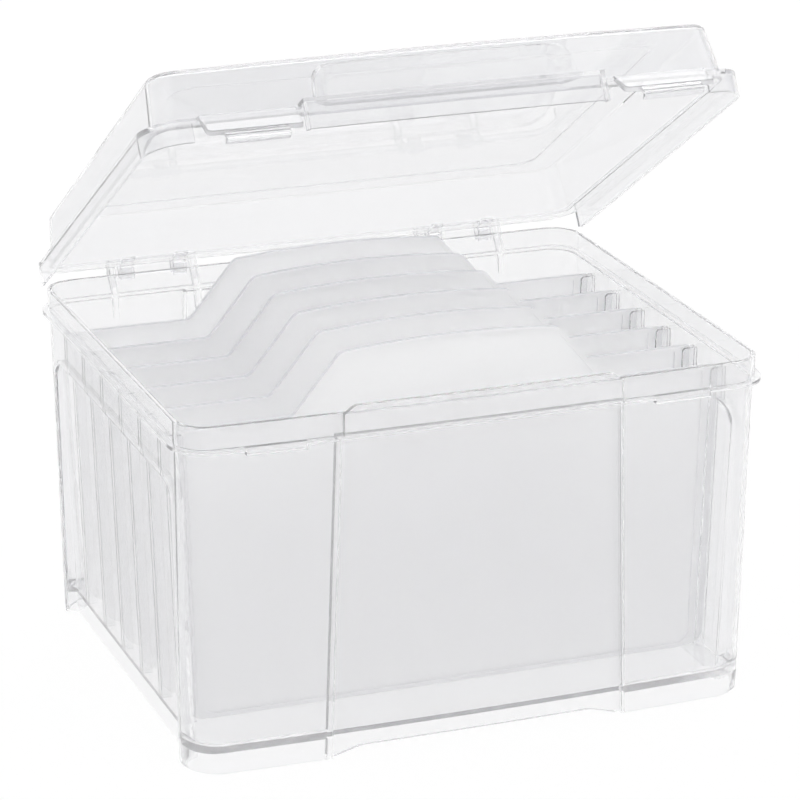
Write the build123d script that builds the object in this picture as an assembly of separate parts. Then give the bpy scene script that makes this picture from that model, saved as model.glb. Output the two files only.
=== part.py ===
from build123d import *
import math
import os

# A clear plastic card storage box: an open-topped bin, a lid on a snap-on rear hinge, two latch
# flaps on the lid's front edge and six upright dividers that stand in slots in the side walls.
# Millimetres, +Z up, the front faces -Y. The functions below work from under the middle of the
# bin's rim band; each node is saved with the origin under the middle of the whole part.

# Bin, measured over the rim band
BIN_WIDTH = 260.0
BIN_DEPTH = 213.0
BIN_HEIGHT = 155.0
FRONT_BOW = 2.9
RIM_RADIUS = 13.6
FOOT_RADIUS = 17.0
WALL = 2.0
RIM_BAND = 9.3
BODY_INSET = 0.6
FOOT_INSET = 2.2
FOOT_ROUND = 1.2
FLANGE_REACH = 2.5
FLANGE_THICKNESS = 1.6
FLOOR_UNDERSIDE = 9.4
FLOOR_THICKNESS = 2.0
FLOOR_COVE = 4.0

# Shallow bay in each side wall, open at the bottom
BAY_FRONT = 84.0
BAY_REAR = 88.0
BAY_FRONT_SLOPE = 2.0
BAY_REAR_SLOPE = 3.0
BAY_TOP = 124.0
BAY_DEPTH_TOP = 3.0
BAY_DEPTH_BOTTOM = 5.5
BAY_CORNER = 12.0

# Set-back panel in the middle of the front and back walls
PANEL_HALF_WIDTH_TOP = 62.0
PANEL_HALF_WIDTH_BOTTOM = 66.5
PANEL_DEPTH = 3.0
PANEL_ARCH_RISE = 3.4
PANEL_ARCH_RUN = 12.0
PANEL_ARCH_ROUND = 16.0

# Thumb lip in the middle of the front rim
LIP_HALF_WIDTH = 62.0
LIP_RISE = 3.5
LIP_END_ROUND = 4.5
LIP_SETBACK = 0.4

# Dividers and the rib pairs that hold their ends
DIVIDER_COUNT = 6
DIVIDER_PITCH = 28.2
DIVIDER_WEB = 1.3
BEAD_THICKNESS = 2.6
BEAD_WIDTH = 2.0
BEAD_INSET = 5.0
DIVIDER_SHOULDER = 141.9
TAB_HEIGHT = 26.0
TAB_ARCH = 2.6
TAB_HALF_WIDTH_FOOT = 71.0
TAB_HALF_WIDTH_TOP = 49.5
TAB_TOP_ROUND = 6.0
TAB_FOOT_ROUND = 5.0
DIVIDER_BOTTOM_ROUND = 8.0
DIVIDER_END_GAP = 0.8
DIVIDER_FLOOR_GAP = 0.3
SLOT_GAP = 0.35
RIB_THICKNESS = 1.4
RIB_TOP = 141.0
RIB_GRIP = 4.2
RIB_FOOT = 1.0

# Lid, in its closed place
LID_GAP = 0.5
LID_LEDGE = 2.0
LID_SKIRT = 10.0
LID_SKIRT_WALL = 1.5
SKIRT_REAR_END = 9.5
LID_WALL = 1.8
DOME_HEIGHT = 23.8
DOME_INSET_BASE = 3.0
DOME_INSET_TOP = 5.7
DOME_RADIUS = 10.0
DOME_ROUND = 3.0
DOME_FALL_DEG = 0.65
LID_OPEN_DEG = 32.1

# Sunk field in the lid's top
FIELD_HALF_WIDTH = 108.0
FIELD_FRONT = 78.0
FIELD_REAR = 85.0
FIELD_DEPTH = 0.8
FIELD_RADIUS = 9.0

# Finger pocket in the front of the dome
POCKET_HALF_WIDTH = 60.0
POCKET_SIDE_SLOPE = 9.0
POCKET_DEPTH = 6.4
POCKET_FLOOR_ABOVE_LEDGE = 4.6
POCKET_HEIGHT = 17.0
POCKET_TOP_SLOPE = 6.6
POCKET_ROUND_MOUTH = 13.0
POCKET_ROUND_BACK = 5.0

# Raised brow over the thumb lip, with the middle of the skirt hanging from it
BROW_WALL = 1.5
BROW_GAP = 0.5

# Latch flaps, one each side of the brow
LATCH_FROM_SIDE = 39.4
LATCH_WIDTH = 41.0
LATCH_SLOT_INNER = 3.7
LATCH_SLOT_OUTER = 2.2
LATCH_THICKNESS = 2.2
LATCH_FLAP_DROP = 12.2
LATCH_CORNER = 2.5
LATCH_EDGE_ROUND = 0.9
HOOK_WIDTH = 27.0
HOOK_THICKNESS = 1.6
HOOK_BARB_HEIGHT = 2.0
HOOK_BARB_REACH = 2.5
HOOK_CLEARANCE = 0.3
GRIP_LINES = 2
GRIP_LINE_DEPTH = 0.5
GRIP_LINE_HEIGHT = 0.8
GRIP_LINE_PITCH = 2.0
LATCH_CLEARANCE = 0.3
LATCH_OPEN_LEFT_DEG = 40.0
LATCH_OPEN_RIGHT_DEG = 48.0
CATCH_WIDTH = 26.0
CATCH_HEIGHT = 2.0
CATCH_SETBACK = 0.4

# Rear hinges: ears and a pin on the bin, open clips on the lid
HINGE_FROM_SIDE = 54.5
HINGE_BEHIND_RIM = 6.0
HINGE_BELOW_RIM = 0.8
EAR_SPACING = 39.0
EAR_THICKNESS = 2.6
EAR_HEAD_RADIUS = 3.2
EAR_DROP = 21.0
EAR_BACK_DEG = 225.0
EAR_UNDER_DEG = -20.0
PIN_RADIUS = 2.0
CLIP_CLEARANCE = 0.3
CLIP_WALL = 1.7
CLIP_WIDTH = 6.0
CLIP_SPACING = 25.0
CLIP_MOUTH = 3.2
CLIP_MOUTH_DEG = -55.0

# Places that follow from the sizes above
HALF_WIDTH = BIN_WIDTH / 2
HALF_DEPTH = BIN_DEPTH / 2
LATCH_CENTRE = HALF_WIDTH - LATCH_FROM_SIDE
HINGE_CENTRE = HALF_WIDTH - HINGE_FROM_SIDE
FLANGE_TOP = BIN_HEIGHT - RIM_BAND
FLANGE_BOTTOM = FLANGE_TOP - FLANGE_THICKNESS
FLOOR_TOP = FLOOR_UNDERSIDE + FLOOR_THICKNESS
SKIRT_OUT = FLANGE_REACH
LEDGE_BOTTOM = BIN_HEIGHT + LID_GAP
LEDGE_TOP = LEDGE_BOTTOM + LID_LEDGE
SKIRT_BOTTOM = LEDGE_TOP - LID_SKIRT
DOME_TOP = LEDGE_TOP + DOME_HEIGHT
HINGE_Y = HALF_DEPTH + HINGE_BEHIND_RIM
HINGE_Z = BIN_HEIGHT - HINGE_BELOW_RIM
HINGE_AXIS = Axis((0, HINGE_Y, HINGE_Z), (-1, 0, 0))
BROW_HALF_WIDTH = LATCH_CENTRE - LATCH_WIDTH / 2 - LATCH_SLOT_INNER
BROW_OUT = FLANGE_REACH + BROW_GAP + BROW_WALL
BROW_TOP = BIN_HEIGHT + LIP_RISE + BROW_GAP + BROW_WALL
LATCH_INNER_BOW = FRONT_BOW * (1 - ((LATCH_CENTRE - LATCH_WIDTH / 2) / HALF_WIDTH) ** 2)
LATCH_PLANE = -HALF_DEPTH - FLANGE_REACH - LATCH_INNER_BOW - LATCH_CLEARANCE
LATCH_AXIS_Y = LATCH_PLANE - LATCH_THICKNESS / 2
LATCH_AXIS_Z = LEDGE_TOP - LATCH_THICKNESS / 2
REACH_FRONT = HALF_DEPTH + FLANGE_REACH + FRONT_BOW
REACH_REAR = HINGE_Y + PIN_RADIUS + CLIP_CLEARANCE + CLIP_WALL
FRAME_SHIFT = (REACH_FRONT - REACH_REAR) / 2
FAR = 400.0
PAST = 10.0
EPS = 0.5
NEAR = 0.1


def outline(out, radius, z):
    """The box's plan at one height, grown by out from the rim band, with a bowed front."""
    right = HALF_WIDTH + out
    rear = HALF_DEPTH + out
    corners = [(-right, rear), (-right, -rear), (right, -rear), (right, rear)]
    edges = [
        Line(corners[0], corners[1]),
        ThreePointArc(corners[1], (0, -rear - FRONT_BOW), corners[2]),
        Line(corners[2], corners[3]),
        Line(corners[3], corners[0]),
    ]
    face = make_face(Wire(edges))
    return Pos(0, 0, z) * fillet(face.vertices(), radius)


def block(out_low, out_high, radius_low, radius_high, low, high):
    """A solid between two plans, straight-sided."""
    ends = [outline(out_low, radius_low, low).face(), outline(out_high, radius_high, high).face()]
    return loft(ends, ruled=True)


def body_out(z):
    """The body wall's outer face at one height, counted out from the rim band."""
    return -FOOT_INSET + (FOOT_INSET - BODY_INSET) * z / FLANGE_TOP


def body_block(inset, low, high):
    """The tapering body between two heights, all round inset from its outer face."""
    radius_low = FOOT_RADIUS - inset
    radius_high = RIM_RADIUS - inset
    return block(body_out(low) - inset, body_out(high) - inset, radius_low, radius_high, low, high)


def prism_y(points, front, rear):
    """A solid with the given X, Z outline, running from front to rear along Y."""
    face = make_face(Polyline(*[(x, 0, z) for x, z in points], close=True))
    return Pos(0, front, 0) * extrude(face, amount=rear - front, dir=(0, 1, 0))


def prism_x(points, left, right):
    """A solid with the given Y, Z outline, running from left to right along X."""
    face = make_face(Polyline(*[(0, y, z) for y, z in points], close=True))
    return Pos(left, 0, 0) * extrude(face, amount=right - left, dir=(1, 0, 0))


def box(x0, x1, y0, y1, z0, z1):
    """A plain box between two corners."""
    return Pos((x0 + x1) / 2, (y0 + y1) / 2, (z0 + z1) / 2) * Box(x1 - x0, y1 - y0, z1 - z0)


def both_sides(shape):
    """The shape and its mirror image in the YZ plane."""
    return [shape, mirror(shape, about=Plane.YZ)]


def bay_face(z, grow):
    """The right side bay's plan at one height, grown inwards by a wall when grow is not zero."""
    depth = BAY_DEPTH_BOTTOM + (BAY_DEPTH_TOP - BAY_DEPTH_BOTTOM) * z / BAY_TOP
    skin = HALF_WIDTH + body_out(z)
    back = skin - depth - grow
    points = [
        (skin + PAST, -BAY_FRONT - BAY_FRONT_SLOPE - grow),
        (skin, -BAY_FRONT - BAY_FRONT_SLOPE - grow),
        (back, -BAY_FRONT - grow),
        (back, BAY_REAR + grow / 2),
        (skin, BAY_REAR + BAY_REAR_SLOPE + grow),
        (skin + PAST, BAY_REAR + BAY_REAR_SLOPE + grow),
    ]
    return make_face(Polyline(*[(x, y, z) for x, y in points], close=True))


def side_bay(grow=0.0):
    """The right side bay as a solid to cut, or with its wall's thickness round it."""
    low = -EPS
    high = BAY_TOP + WALL + EPS
    raw = loft([bay_face(low, grow), bay_face(high, grow)], ruled=True)
    front = -BAY_FRONT - BAY_FRONT_SLOPE - grow
    rear = BAY_REAR + BAY_REAR_SLOPE + grow
    top = BAY_TOP + grow
    window = make_face(Polyline(*[(0, y, z) for y, z in
                                  ((front, low), (front, top), (rear, top), (rear, low))], close=True))
    upper = window.vertices().sort_by(Axis.Z)[-2:]
    window = fillet(upper, BAY_CORNER + grow)
    return raw & extrude(window, amount=FAR, dir=(1, 0, 0))


def panel_wedge(grow, front, rear):
    """A panel's outline, wider at the foot, run through from front to rear."""
    low = -EPS
    high = FLANGE_BOTTOM + grow
    slope = (PANEL_HALF_WIDTH_BOTTOM - PANEL_HALF_WIDTH_TOP) / FLANGE_BOTTOM
    foot = PANEL_HALF_WIDTH_BOTTOM + grow - slope * low
    head = PANEL_HALF_WIDTH_BOTTOM + grow - slope * high
    return prism_y([(-foot, low), (foot, low), (head, high), (-head, high)], front, rear)


def panel_bay(front, rear, grow=0.0):
    """A panel's set-back as a solid, or with its wall's thickness round it."""
    core = body_block(PANEL_DEPTH + grow, -2 * EPS, FLANGE_BOTTOM + grow + EPS)
    return panel_wedge(grow, front, rear) - core


def panel_arch():
    """The low arch cut out of a panel's bottom edge, between two S-shaped ends."""
    reach = PANEL_HALF_WIDTH_BOTTOM - WALL
    inner = reach - PANEL_ARCH_RUN
    points = [(-reach - 2 * EPS, -PAST), (-reach, 0), (-inner, PANEL_ARCH_RISE), (inner, PANEL_ARCH_RISE),
              (reach, 0), (reach + 2 * EPS, -PAST)]
    face = make_face(Polyline(*[(x, 0, z) for x, z in points], close=True))
    tops = [v for v in face.vertices() if v.Z > PANEL_ARCH_RISE / 2]
    face = fillet(tops, PANEL_ARCH_ROUND)
    return Pos(0, -FAR / 2, 0) * extrude(face, amount=FAR, dir=(0, 1, 0))


def bays(grow=0.0):
    """All four set-back fields of the body."""
    return both_sides(side_bay(grow)) + [panel_bay(-FAR, 0, grow), panel_bay(0, FAR, grow)]


def front_layer(out_inner, out_outer, low, high):
    """A thin upright layer round the box between two distances out from the rim band."""
    radius = RIM_RADIUS
    outer = block(out_outer, out_outer, radius + out_outer, radius + out_outer, low, high)
    return outer - block(out_inner, out_inner, radius + out_inner, radius + out_inner, low - EPS, high + EPS)


def thumb_lip():
    """The thickened middle of the front rim, with a lip that rises over the rim."""
    top = BIN_HEIGHT + LIP_RISE
    reach = LIP_HALF_WIDTH
    shoulder = reach - LIP_END_ROUND
    face = make_face(Polyline(*[(x, 0, z) for x, z in (
        (-reach, FLANGE_BOTTOM), (reach, FLANGE_BOTTOM), (reach, BIN_HEIGHT), (shoulder, top),
        (-shoulder, top), (-reach, BIN_HEIGHT))], close=True))
    face = fillet([v for v in face.vertices() if v.Z > BIN_HEIGHT + EPS], LIP_END_ROUND)
    window = Pos(0, -FAR, 0) * extrude(face, amount=FAR, dir=(0, 1, 0))
    base = front_layer(-WALL / 2, FLANGE_REACH, FLANGE_BOTTOM, BIN_HEIGHT)
    lip = front_layer(LIP_SETBACK, FLANGE_REACH, BIN_HEIGHT - EPS, top)
    return window & (base + lip)


def catch_bars():
    """A bar under the flange on each side of the front, for the latch hooks."""
    half = CATCH_WIDTH / 2
    low = FLANGE_BOTTOM - CATCH_HEIGHT
    layer = front_layer(body_out(low) - WALL / 2, FLANGE_REACH - CATCH_SETBACK, low, FLANGE_BOTTOM + EPS)
    window = box(LATCH_CENTRE - half, LATCH_CENTRE + half, -FAR, 0, low, FLANGE_TOP)
    return both_sides(window & layer)


def hinge_ears():
    """Two pairs of ears on the back of the bin, each pair with a pin between its heads."""
    head = EAR_HEAD_RADIUS
    inner = HALF_DEPTH - PANEL_DEPTH - WALL
    low = BIN_HEIGHT - EAR_DROP
    back = math.radians(EAR_BACK_DEG)
    under = math.radians(EAR_UNDER_DEG)
    arm = [
        (inner, low),
        (inner, FLANGE_TOP),
        (HALF_DEPTH - EPS, FLANGE_TOP + head),
        (HINGE_Y + head * math.cos(back), HINGE_Z + head * math.sin(back)),
        (HINGE_Y, HINGE_Z),
        (HINGE_Y + head * math.cos(under), HINGE_Z + head * math.sin(under)),
        (HALF_DEPTH + FLANGE_REACH, FLANGE_BOTTOM),
        (HALF_DEPTH + body_out(low), low),
    ]
    parts = []
    for side in (-1, 1):
        ear = HINGE_CENTRE + side * EAR_SPACING / 2
        left = ear - EAR_THICKNESS / 2
        right = ear + EAR_THICKNESS / 2
        parts += [prism_x(arm, left, right), rod_x(head, left, right)]
    parts.append(rod_x(PIN_RADIUS, HINGE_CENTRE - EAR_SPACING / 2, HINGE_CENTRE + EAR_SPACING / 2))
    return [piece for part in parts for piece in both_sides(part)]


def rod_x(radius, left, right, y=HINGE_Y, z=HINGE_Z):
    """A round bar along X."""
    return Pos((left + right) / 2, y, z) * Rot(0, 90, 0) * Cylinder(radius, right - left)


def bay_wall(z):
    """The tub's inner face in a side bay, at one height, carried on upwards in a straight line."""
    depth = BAY_DEPTH_BOTTOM + (BAY_DEPTH_TOP - BAY_DEPTH_BOTTOM) * z / BAY_TOP
    return HALF_WIDTH + body_out(z) - depth - WALL


def divider_places():
    """Where each divider stands, from the front to the back."""
    first = -DIVIDER_PITCH * (DIVIDER_COUNT - 1) / 2
    return [first + DIVIDER_PITCH * i for i in range(DIVIDER_COUNT)]


def ribs():
    """Rib pairs on the side walls: each pair is a slot for one end of a divider."""
    low = FLOOR_TOP - WALL / 2
    bay_top = BAY_TOP + WALL / 2
    upper_wall = HALF_WIDTH + body_out(RIB_TOP) - WALL / 2
    points = [
        (bay_wall(low) - RIB_GRIP, low),
        (bay_wall(low) + WALL / 2, low),
        (bay_wall(BAY_TOP) + WALL / 2, bay_top),
        (upper_wall, bay_top),
        (upper_wall, RIB_TOP),
        (bay_wall(RIB_TOP) - RIB_GRIP + RIB_FOOT, RIB_TOP),
        (bay_wall(RIB_TOP) - RIB_GRIP, RIB_TOP - RIB_FOOT),
    ]
    offset_y = DIVIDER_WEB / 2 + SLOT_GAP + RIB_THICKNESS / 2
    made = []
    for place in divider_places():
        for side in (-1, 1):
            middle = place + side * offset_y
            made += both_sides(prism_y(points, middle - RIB_THICKNESS / 2, middle + RIB_THICKNESS / 2))
    return made


def make_bin():
    """The bin: body, feet, tub, rim, flange, thumb lip, catches, hinge ears and divider ribs."""
    body = body_block(0, 0, FLANGE_TOP)
    body = fillet(body.faces().sort_by(Axis.Z)[0].edges(), FOOT_ROUND)
    tub = body_block(WALL, FLOOR_TOP, FLANGE_TOP + EPS)
    tub = fillet(tub.faces().sort_by(Axis.Z)[0].edges(), FLOOR_COVE)
    under = body_block(WALL, -EPS, FLOOR_UNDERSIDE)
    for bay in bays():
        body -= bay
    for bay in bays(WALL):
        tub -= bay
        under -= bay
    band = block(0, 0, RIM_RADIUS, RIM_RADIUS, FLANGE_BOTTOM, BIN_HEIGHT)
    flange_radius = RIM_RADIUS + FLANGE_REACH
    flange = block(FLANGE_REACH, FLANGE_REACH, flange_radius, flange_radius, FLANGE_BOTTOM, FLANGE_TOP)
    step = FLANGE_TOP - FLANGE_THICKNESS / 2
    mouth = block(-WALL, -WALL, RIM_RADIUS - WALL, RIM_RADIUS - WALL, step, BIN_HEIGHT + EPS)
    shell = body + band + flange + hinge_ears() + catch_bars()
    shell = shell - tub - under - mouth - panel_arch()
    return shell + thumb_lip() + ribs()


def divider_outline(side_inset):
    """A divider's outline in the XZ plane, its upright ends inset by side_inset."""
    low = FLOOR_TOP + DIVIDER_FLOOR_GAP
    shoulder = DIVIDER_SHOULDER
    top = shoulder + TAB_HEIGHT
    foot_x = bay_wall(low) - DIVIDER_END_GAP - side_inset
    end_x = bay_wall(shoulder) - DIVIDER_END_GAP - side_inset
    edges = [
        Polyline((-TAB_HALF_WIDTH_TOP, top), (-TAB_HALF_WIDTH_FOOT, shoulder), (-end_x, shoulder),
                 (-foot_x, low), (foot_x, low), (end_x, shoulder), (TAB_HALF_WIDTH_FOOT, shoulder),
                 (TAB_HALF_WIDTH_TOP, top)),
        ThreePointArc((TAB_HALF_WIDTH_TOP, top), (0, top + TAB_ARCH), (-TAB_HALF_WIDTH_TOP, top)),
    ]
    face = make_face(edges)
    rounds = (
        (low, DIVIDER_BOTTOM_ROUND, 0),
        (top, TAB_TOP_ROUND, 0),
        (shoulder, TAB_FOOT_ROUND, TAB_HALF_WIDTH_FOOT),
    )
    for height, radius, place in rounds:
        chosen = [v for v in face.vertices() if abs(v.Y - height) < NEAR
                  and (place == 0 or abs(abs(v.X) - place) < EPS)]
        face = fillet(chosen, radius)
    return face


def make_divider(place):
    """One divider: a thin web with a raised bead round its face."""
    web = divider_outline(0)
    field = divider_outline(BEAD_INSET)
    bead = field - offset(field, -BEAD_WIDTH)
    upright = Pos(0, place, 0) * Rot(90, 0, 0)
    return upright * (extrude(web, DIVIDER_WEB / 2, both=True) + extrude(bead, BEAD_THICKNESS / 2, both=True))


def open_lid(shape):
    """A piece of the closed lid turned up to the angle at which the lid stands open."""
    return shape.rotate(HINGE_AXIS, LID_OPEN_DEG)


def finger_pocket(grow=0.0):
    """The pocket in the front of the dome, or with its wall's thickness round it."""
    low = LEDGE_TOP + POCKET_FLOOR_ABOVE_LEDGE - grow
    high = low + POCKET_HEIGHT + 2 * grow
    face_y = -HALF_DEPTH + DOME_INSET_BASE - FRONT_BOW
    back_y = face_y + POCKET_DEPTH + grow
    out_y = face_y - POCKET_DEPTH
    side = POCKET_SIDE_SLOPE
    slope = POCKET_TOP_SLOPE
    mouth = pocket_face(POCKET_HALF_WIDTH + side + grow, low, high + slope, out_y, POCKET_ROUND_MOUTH)
    back = pocket_face(POCKET_HALF_WIDTH - side + grow, low, high - slope, back_y, POCKET_ROUND_BACK)
    return loft([mouth, back], ruled=True)


def pocket_face(half_width, low, high, y, radius):
    """An upright rectangle across the front with its two upper corners rounded."""
    corners = [(-half_width, low), (half_width, low), (half_width, high), (-half_width, high)]
    face = make_face(Polyline(*[(x, y, z) for x, z in corners], close=True))
    return fillet(face.vertices().sort_by(Axis.Z)[-2:], radius).face()


def fall(shape):
    """A piece of the closed lid's roof, turned about the front so that it falls to the rear."""
    return shape.rotate(Axis((0, -HALF_DEPTH, DOME_TOP), (-1, 0, 0)), DOME_FALL_DEG)


def roofed(inset_low, inset_high, radius, low, high):
    """A solid from a level plan up to a roof that falls to the rear."""
    ends = [outline(inset_low, radius, low).face(), fall(outline(inset_high, radius, high)).face()]
    return loft(ends, ruled=True)


def dome():
    """The raised roof of the lid as a solid, and the hollow inside it."""
    outer = roofed(-DOME_INSET_BASE, -DOME_INSET_TOP, DOME_RADIUS, LEDGE_BOTTOM, DOME_TOP)
    outer = fillet(outer.faces().sort_by(Axis.Z)[-1].edges(), DOME_ROUND)
    inset_low = -DOME_INSET_BASE - LID_WALL
    inset_high = -DOME_INSET_TOP - LID_WALL
    radius = DOME_RADIUS - LID_WALL
    hollow = roofed(inset_low, inset_high, radius, LEDGE_BOTTOM - EPS, DOME_TOP - LID_WALL)
    hollow = fillet(hollow.faces().sort_by(Axis.Z)[-1].edges(), DOME_ROUND - LID_WALL)
    return outer, hollow


def brow():
    """The raised middle of the lid's front edge and the room inside it for the bin's thumb lip."""
    half = BROW_HALF_WIDTH
    roof = BROW_TOP - BROW_WALL
    upright = front_layer(SKIRT_OUT - LID_SKIRT_WALL, BROW_OUT, SKIRT_BOTTOM, BROW_TOP)
    over = front_layer(-DOME_INSET_BASE - LID_WALL / 2, BROW_OUT, LEDGE_BOTTOM, BROW_TOP)
    outer = box(-half, half, -FAR, 0, SKIRT_BOTTOM, BROW_TOP) & (upright + over)
    half -= BROW_WALL
    room = front_layer(-LIP_SETBACK, BROW_OUT - BROW_WALL, SKIRT_BOTTOM - EPS, roof)
    return outer, box(-half, half, -FAR, 0, SKIRT_BOTTOM - EPS, roof) & room


def latch_notches():
    """Gaps in the front skirt for the latches, and the straight edges that the latches hang from."""
    inner = BROW_HALF_WIDTH
    outer = LATCH_CENTRE + LATCH_WIDTH / 2 + LATCH_SLOT_OUTER
    notch = box(inner, outer, -FAR, -HALF_DEPTH - EPS, SKIRT_BOTTOM - EPS, LEDGE_BOTTOM)
    edge = LATCH_PLANE + LATCH_CLEARANCE
    seat = box(LATCH_CENTRE - LATCH_WIDTH / 2, LATCH_CENTRE + LATCH_WIDTH / 2, edge, -HALF_DEPTH,
               LEDGE_BOTTOM, LEDGE_TOP)
    return both_sides(notch), both_sides(seat)


def hinge_clips():
    """Open clips on the lid that snap over the bin's hinge pins, and their bores and mouths."""
    bore = PIN_RADIUS + CLIP_CLEARANCE
    ring = bore + CLIP_WALL
    root = HALF_DEPTH - DOME_INSET_BASE - LID_WALL / 2
    arm = [
        (root, LEDGE_BOTTOM + EPS),
        (root, HINGE_Z + ring),
        (HINGE_Y, HINGE_Z + ring),
        (HINGE_Y, HINGE_Z),
        (HINGE_Y - ring, HINGE_Z),
        (HALF_DEPTH + SKIRT_OUT - LID_SKIRT_WALL, LEDGE_BOTTOM),
    ]
    solids = []
    cuts = []
    for side in (-1, 1):
        left = HINGE_CENTRE + side * CLIP_SPACING / 2 - CLIP_WIDTH / 2
        right = left + CLIP_WIDTH
        solids += both_sides(prism_x(arm, left, right)) + both_sides(rod_x(ring, left, right))
        cuts += both_sides(rod_x(bore, left - EPS, right + EPS))
        mouth = box(left - EPS, right + EPS, 0, 2 * ring, -CLIP_MOUTH / 2, CLIP_MOUTH / 2)
        mouth = Pos(0, HINGE_Y, HINGE_Z) * mouth.rotate(Axis.X, CLIP_MOUTH_DEG)
        cuts += both_sides(mouth)
    return solids, cuts


def top_field():
    """The shallow sunk field in the lid's top."""
    depth = FIELD_FRONT + FIELD_REAR
    middle = (FIELD_REAR - FIELD_FRONT) / 2
    face = RectangleRounded(2 * FIELD_HALF_WIDTH, depth, FIELD_RADIUS)
    face = Pos(0, middle, DOME_TOP - FIELD_DEPTH) * face
    return fall(extrude(face, amount=FIELD_DEPTH + EPS))


def make_lid():
    """The lid, in its closed place: skirt, ledge, dome, brow, pocket, notches and hinge clips."""
    radius = RIM_RADIUS + SKIRT_OUT
    rim = block(SKIRT_OUT, SKIRT_OUT, radius, radius, SKIRT_BOTTOM, LEDGE_TOP)
    inner = SKIRT_OUT - LID_SKIRT_WALL
    skirt_room = block(inner, inner, RIM_RADIUS + inner, RIM_RADIUS + inner, SKIRT_BOTTOM - EPS, LEDGE_BOTTOM)
    rear_cut = box(-FAR, FAR, HALF_DEPTH - SKIRT_REAR_END, FAR, SKIRT_BOTTOM - EPS, LEDGE_BOTTOM)
    notches, seats = latch_notches()
    clips, clip_cuts = hinge_clips()
    dome_outer, dome_hollow = dome()
    brow_outer, brow_room = brow()
    dome_hollow -= finger_pocket(LID_WALL)
    lid = rim - skirt_room - rear_cut
    for notch in notches:
        lid -= notch
    lid = lid + dome_outer + seats + brow_outer + clips
    lid = lid - finger_pocket() - dome_hollow - brow_room - top_field()
    for cut in clip_cuts:
        lid -= cut
    return lid


def make_latch(centre, opened):
    """One latch flap in the lid's closed frame, turned outwards about its top edge."""
    plane = LATCH_PLANE
    out = plane - LATCH_THICKNESS
    bottom = LATCH_AXIS_Z - LATCH_FLAP_DROP
    half = LATCH_WIDTH / 2
    flap = box(centre - half, centre + half, out, plane, bottom, LATCH_AXIS_Z)
    flap = fillet([e for e in flap.edges().filter_by(Axis.Y) if e.center().Z < bottom + EPS], LATCH_CORNER)
    flap = fillet(flap.faces().sort_by(Axis.Y)[0].edges().sort_by(Axis.Z)[:3], LATCH_EDGE_ROUND)
    knuckle = rod_x(LATCH_THICKNESS / 2, centre - half, centre + half, LATCH_AXIS_Y, LATCH_AXIS_Z)
    barb_top = FLANGE_BOTTOM - CATCH_HEIGHT - HOOK_CLEARANCE
    barb_low = barb_top - HOOK_BARB_HEIGHT
    hook = [
        (plane, LATCH_AXIS_Z - LATCH_THICKNESS),
        (plane, barb_top),
        (plane + HOOK_BARB_REACH, barb_top),
        (plane + HOOK_BARB_REACH, barb_top - EPS),
        (plane, barb_low),
        (plane - HOOK_THICKNESS, barb_low),
    ]
    for line in range(GRIP_LINES):
        low = barb_low + GRIP_LINE_PITCH * (line + 1)
        proud = plane - HOOK_THICKNESS - GRIP_LINE_DEPTH
        flat = plane - HOOK_THICKNESS
        hook += [(flat, low - GRIP_LINE_HEIGHT / 2), (proud, low), (flat, low + GRIP_LINE_HEIGHT / 2)]
    hook.append((plane - HOOK_THICKNESS, LATCH_AXIS_Z - LATCH_THICKNESS))
    hook = prism_x(hook, centre - HOOK_WIDTH / 2, centre + HOOK_WIDTH / 2)
    axis = Axis((centre, LATCH_AXIS_Y, LATCH_AXIS_Z), (-1, 0, 0))
    return (flap + knuckle + hook).rotate(axis, opened)


def save(shape, name):
    """Write one node in the part's own frame."""
    export_step(Pos(0, FRAME_SHIFT, 0) * shape, f"parts/{name}.step")


os.makedirs("parts", exist_ok=True)
save(make_bin(), "bin")
save(open_lid(make_lid()), "lid")
save(open_lid(make_latch(-LATCH_CENTRE, LATCH_OPEN_LEFT_DEG)), "latch_left")
save(open_lid(make_latch(LATCH_CENTRE, LATCH_OPEN_RIGHT_DEG)), "latch_right")
for number, place in enumerate(divider_places(), start=1):
    save(make_divider(place), f"divider_{number}")
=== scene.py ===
from collections import namedtuple
import bpy
from mathutils import Matrix, Vector


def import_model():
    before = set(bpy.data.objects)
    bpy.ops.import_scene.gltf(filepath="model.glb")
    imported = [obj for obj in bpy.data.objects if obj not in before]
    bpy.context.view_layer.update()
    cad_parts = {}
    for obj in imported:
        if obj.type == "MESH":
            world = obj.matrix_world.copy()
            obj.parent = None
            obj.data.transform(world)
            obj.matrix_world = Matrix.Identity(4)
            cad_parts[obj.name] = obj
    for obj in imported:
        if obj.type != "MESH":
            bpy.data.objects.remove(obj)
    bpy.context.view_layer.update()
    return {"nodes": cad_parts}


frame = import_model()
scene = bpy.context.scene
scene.view_settings.view_transform = "Standard"

# Light crosses many thin walls, so its paths are long, and gloss isn't blurred inside the plastic.
scene.cycles.max_bounces = 64
scene.cycles.transmission_bounces = 40
scene.cycles.glossy_bounces = 24
scene.cycles.diffuse_bounces = 40
scene.cycles.blur_glossy = 0.0

Look = namedtuple("Look", "color roughness transmission noise_scale bump")
Lamp = namedtuple("Lamp", "name place size power")
Ramp = namedtuple("Ramp", "start end")

# A surface or sky of this colour and strength shows as plain white.
WHITE = (1.0, 1.0, 1.0)
WHITE_STRENGTH = 1.0

# The camera: its lens and sensor in millimetres, its place and reach in metres, and where it looks.
CAMERA_LENS = 164.46
CAMERA_SENSOR = 36.0
CAMERA_SHIFT = 0.0035
CAMERA_REACH = 30.0
CAMERA_PLACE = (-0.53523, -1.43176, 0.65139)
CAMERA_AHEAD = (0.33301, 0.88296, -0.33089)

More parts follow.
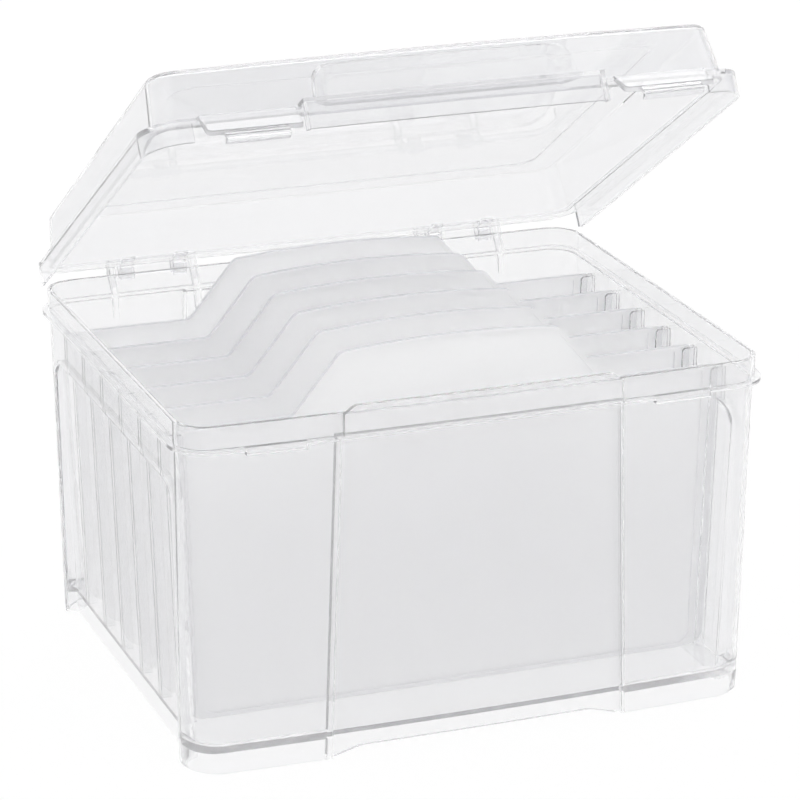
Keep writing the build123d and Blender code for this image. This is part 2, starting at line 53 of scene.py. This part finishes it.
# The three plastics of the box.
CLEAR_GRAIN = {"noise_scale": 60.0, "bump": 0.03}
BIN = Look(color=(0.955, 0.955, 0.961), roughness=0.06, transmission=0.90, **CLEAR_GRAIN)
LID = Look(color=(0.957, 0.957, 0.964), roughness=0.05, transmission=0.87, **CLEAR_GRAIN)
DIVIDER = Look(color=(0.998, 0.998, 0.999), roughness=0.4, transmission=0.35, noise_scale=300.0, bump=0.1)
PLASTIC_IOR = 1.43

# How the noise shows in a plastic: its low places are darker and glossier, and its relief is in metres.
NOISE_DETAIL = 3.0
TONE_LOW = 0.996
TONE_RAMP = Ramp(0.35, 0.65)
ROUGHNESS_SPREAD = 0.15
GRAIN_DEPTH = 0.0002

# A divider's cloudiness, how far light spreads in it, in metres and by colour, and the colour of the
# painted shade on its cut edges.
DIVIDER_CLOUD = 1.0
DIVIDER_DEPTH = 0.004
DIVIDER_SPREAD = (1.0, 1.0, 1.0)
EDGE_SHADE_COLOR = (0.75, 0.75, 0.77)

# The floor's side in metres, its colour, and the share of plain white that it shows.
FLOOR_SIZE = 14
FLOOR_COLOR = (0.98, 0.98, 0.98)
FLOOR_GLOW = 0.95

# The studio cards' colour, and how far up or sideways a direction reaches where they start and end.
CARD_COLOR = (0.36, 0.37, 0.42)
OVERHEAD_CARD = Ramp(0.70, 0.95)
SIDE_CARD = Ramp(0.86, 0.95)

# Each lamp's place and side length in metres, its power in watts, and the point that all of them face.
LAMPS = (
    Lamp("key", place=(-1.2, -1.4, 2.2), size=1.6, power=4.0),
    Lamp("fill", place=(1.6, -0.6, 1.6), size=1.4, power=2.0),
    Lamp("back", place=(0.3, 1.5, 1.9), size=2.2, power=10.0),
)
LAMP_TARGET = (0.0, 0.0, 0.12)


def set_up(item, place, ahead):
    """Put a camera or lamp at its place, looking ahead."""
    turn = Vector(ahead).to_track_quat("-Z", "Y").to_matrix().to_4x4()
    item.matrix_world = Matrix.Translation(place) @ turn
    scene.collection.objects.link(item)


def camera():
    """The photograph's view."""
    data = bpy.data.cameras.new("camera")
    data.lens = CAMERA_LENS
    data.sensor_width = CAMERA_SENSOR
    data.shift_y = CAMERA_SHIFT
    data.clip_end = CAMERA_REACH
    scene.camera = bpy.data.objects.new("camera", data)
    set_up(scene.camera, CAMERA_PLACE, CAMERA_AHEAD)


def lamps():
    """Three soft lamps: a key from the front left, a weaker fill from the right and one from behind."""
    for lamp in LAMPS:
        data = bpy.data.lights.new(lamp.name, "AREA")
        data.size = lamp.size
        data.energy = lamp.power
        ahead = Vector(LAMP_TARGET) - Vector(lamp.place)
        set_up(bpy.data.objects.new(lamp.name, data), lamp.place, ahead)


def feed(tree, value, socket):
    """Give a socket its value, which is another node's output, a number or a colour."""
    if isinstance(value, bpy.types.NodeSocket):
        tree.links.new(value, socket)
    else:
        socket.default_value = value


def math_node(tree, operation, *values):
    """The result of a Math node."""
    node = tree.nodes.new("ShaderNodeMath")
    node.operation = operation
    for value, socket in zip(values, node.inputs):
        feed(tree, value, socket)
    return node.outputs["Value"]


def mixed_color(tree, share, first, second):
    """The first colour at share 0, the second at share 1, and a mix between."""
    mix = tree.nodes.new("ShaderNodeMix")
    mix.data_type = "RGBA"
    feed(tree, share, mix.inputs["Factor"])
    feed(tree, first, mix.inputs["A"])
    feed(tree, second, mix.inputs["B"])
    return mix.outputs["Result"]


def new_material(name):
    """A material, its node tree and its shader."""
    material = bpy.data.materials.new(name)
    material.use_nodes = True
    return material, material.node_tree, material.node_tree.nodes["Principled BSDF"]


def plastic(name, look):
    """A moulded plastic whose tone, gloss and surface vary a little from place to place."""
    material, tree, shader = new_material(name)
    shader.inputs["Transmission Weight"].default_value = look.transmission
    shader.inputs["IOR"].default_value = PLASTIC_IOR
    coords = tree.nodes.new("ShaderNodeTexCoord")
    noise = tree.nodes.new("ShaderNodeTexNoise")
    noise.inputs["Scale"].default_value = look.noise_scale
    noise.inputs["Detail"].default_value = NOISE_DETAIL
    tree.links.new(coords.outputs["Object"], noise.inputs["Vector"])
    tone = tree.nodes.new("ShaderNodeValToRGB")
    tone.name = "tone"
    low, high = tone.color_ramp.elements
    low.position = TONE_RAMP.start
    low.color = (*[channel * TONE_LOW for channel in look.color], 1)
    high.position = TONE_RAMP.end
    high.color = (*look.color, 1)
    tree.links.new(noise.outputs["Fac"], tone.inputs["Fac"])
    tree.links.new(tone.outputs["Color"], shader.inputs["Base Color"])
    rough = tree.nodes.new("ShaderNodeMapRange")
    rough.inputs["To Min"].default_value = look.roughness * (1 - ROUGHNESS_SPREAD)
    rough.inputs["To Max"].default_value = look.roughness * (1 + ROUGHNESS_SPREAD)
    tree.links.new(noise.outputs["Fac"], rough.inputs["Value"])
    tree.links.new(rough.outputs["Result"], shader.inputs["Roughness"])
    grain = tree.nodes.new("ShaderNodeBump")
    grain.inputs["Strength"].default_value = look.bump
    grain.inputs["Distance"].default_value = GRAIN_DEPTH
    tree.links.new(noise.outputs["Fac"], grain.inputs["Height"])
    tree.links.new(grain.outputs["Normal"], shader.inputs["Normal"])
    return material


def frosted_plastic():
    """The dividers' cloudy sheet, with painted shade that darkens its cut edges, which face neither front
    nor back.
    """
    material = plastic("frosted_divider", DIVIDER)
    tree = material.node_tree
    shader = tree.nodes["Principled BSDF"]
    shader.inputs["Subsurface Weight"].default_value = DIVIDER_CLOUD
    shader.inputs["Subsurface Radius"].default_value = DIVIDER_SPREAD
    shader.inputs["Subsurface Scale"].default_value = DIVIDER_DEPTH
    # Painted shade: faces that point neither front nor back get the darker edge colour in place of the
    # sheet's tone.
    geometry = tree.nodes.new("ShaderNodeNewGeometry")
    split = tree.nodes.new("ShaderNodeSeparateXYZ")
    tree.links.new(geometry.outputs["Normal"], split.inputs["Vector"])
    face = math_node(tree, "ABSOLUTE", split.outputs["Y"])
    color = mixed_color(tree, face, (*EDGE_SHADE_COLOR, 1), tree.nodes["tone"].outputs["Color"])
    tree.links.new(color, shader.inputs["Base Color"])
    return material


def floor():
    """A white floor that keeps a faint shadow and shows white to the camera and through the plastic."""
    bpy.ops.mesh.primitive_plane_add(size=FLOOR_SIZE)
    plane = bpy.context.object
    plane.name = "floor"
    material, tree, shader = new_material("floor_white")
    tree.nodes.remove(shader)
    diffuse = tree.nodes.new("ShaderNodeBsdfDiffuse")
    diffuse.inputs["Color"].default_value = (*FLOOR_COLOR, 1)
    glow = tree.nodes.new("ShaderNodeEmission")
    glow.inputs["Color"].default_value = (*WHITE, 1)
    glow.inputs["Strength"].default_value = WHITE_STRENGTH
    path = tree.nodes.new("ShaderNodeLightPath")
    seen = math_node(tree, "MAXIMUM", path.outputs["Is Camera Ray"], path.outputs["Is Transmission Ray"])
    seen = math_node(tree, "MAXIMUM", seen, path.outputs["Is Glossy Ray"])
    share = math_node(tree, "MULTIPLY", seen, FLOOR_GLOW)
    mix = tree.nodes.new("ShaderNodeMixShader")
    for source, socket in zip((share, diffuse.outputs["BSDF"], glow.outputs["Emission"]), mix.inputs):
        tree.links.new(source, socket)
    tree.links.new(mix.outputs["Shader"], tree.nodes["Material Output"].inputs["Surface"])
    plane.data.materials.append(material)


def card(tree, reach, ramp):
    """How dark a card makes the sky: nothing at the ramp's start, and all of it at its end."""
    fade = tree.nodes.new("ShaderNodeMapRange")
    fade.inputs["From Min"].default_value = ramp.start
    fade.inputs["From Max"].default_value = ramp.end
    tree.links.new(reach, fade.inputs["Value"])
    return fade.outputs["Result"]


def world():
    """White studio light, with darker cards overhead and at each side that show only in the plastic."""
    sky = bpy.data.worlds.new("world")
    scene.world = sky
    sky.use_nodes = True
    tree = sky.node_tree
    path = tree.nodes.new("ShaderNodeLightPath")
    coords = tree.nodes.new("ShaderNodeTexCoord")
    split = tree.nodes.new("ShaderNodeSeparateXYZ")
    tree.links.new(coords.outputs["Generated"], split.inputs["Vector"])
    overhead = card(tree, split.outputs["Z"], OVERHEAD_CARD)
    beside = card(tree, math_node(tree, "ABSOLUTE", split.outputs["X"]), SIDE_CARD)
    seen = math_node(tree, "MAXIMUM", path.outputs["Is Glossy Ray"], path.outputs["Is Transmission Ray"])
    dark = math_node(tree, "MULTIPLY", math_node(tree, "MAXIMUM", overhead, beside), seen)
    background = tree.nodes["Background"]
    background.inputs["Strength"].default_value = WHITE_STRENGTH
    tree.links.new(mixed_color(tree, dark, (*WHITE, 1), (*CARD_COLOR, 1)), background.inputs["Color"])


def dress():
    """Give every node its plastic. The latches are moulded with the lid, so they have the lid's."""
    clear_bin = plastic("clear_bin", BIN)
    clear_lid = plastic("clear_lid", LID)
    frosted = frosted_plastic()
    for name, node in frame["nodes"].items():
        if name == "bin":
            material = clear_bin
        elif name.startswith("divider"):
            material = frosted
        else:
            material = clear_lid
        node.data.materials.clear()
        node.data.materials.append(material)


camera()
floor()
world()
lamps()
dress()
